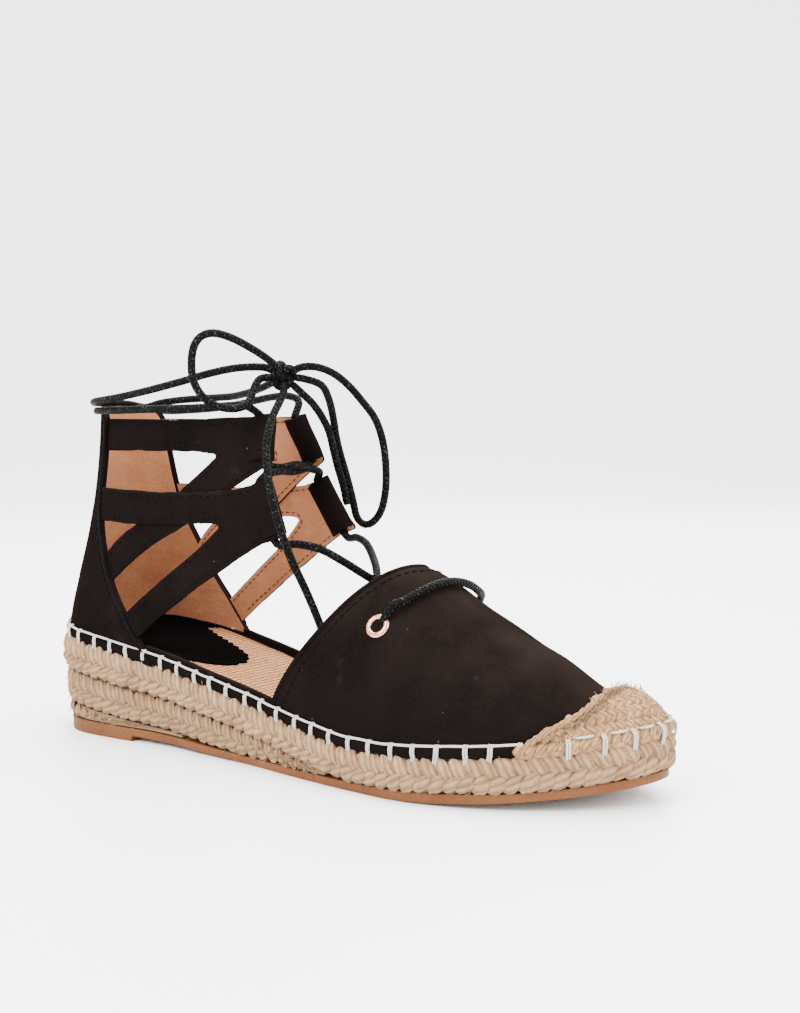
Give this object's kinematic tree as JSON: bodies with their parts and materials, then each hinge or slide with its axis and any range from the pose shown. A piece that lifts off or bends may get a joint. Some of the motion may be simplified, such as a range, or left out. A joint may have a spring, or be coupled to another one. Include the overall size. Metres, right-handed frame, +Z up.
{
  "type": "espadrille",
  "caption": "Lace-up espadrille: open strapped ankle, closed vamp with a woven jute toe cap, low braided jute wedge sole on a thin rubber outsole.",
  "frame": {"origin": "middle of the shoe's footprint box, on the floor", "axes": "+X from the heel to the toe, +Y to the inner (big toe) side, +Z up"},
  "size_m": [0.256, 0.085, 0.1535],
  "materials": {
    "suede": "matt napped",
    "jute": "braided, matt",
    "woven": "coarse weave, matt",
    "rubber": "satin",
    "rose_gold": "polished",
    "waxed_cord": "waxed, satin"
  },
  "bodies": {
    "root": {"outsole": "rubber", "braid_low": "jute", "braid_middle": "jute", "braid_rim": "jute", "insole": "woven", "upper": "suede", "toe_cap": "jute", "eyelet_outer": "rose_gold", "eyelet_inner": "rose_gold", "lace_bar": "waxed_cord", "lace_cross_lower": "waxed_cord", "lace_cross_upper": "waxed_cord", "lace_wrap_outer": "waxed_cord", "lace_wrap_inner": "waxed_cord", "lace_knot": "waxed_cord", "lace_loop_outer": "waxed_cord", "lace_loop_inner": "waxed_cord", "lace_end_outer": "waxed_cord", "lace_end_inner": "waxed_cord"}
  },
  "joints": []
}
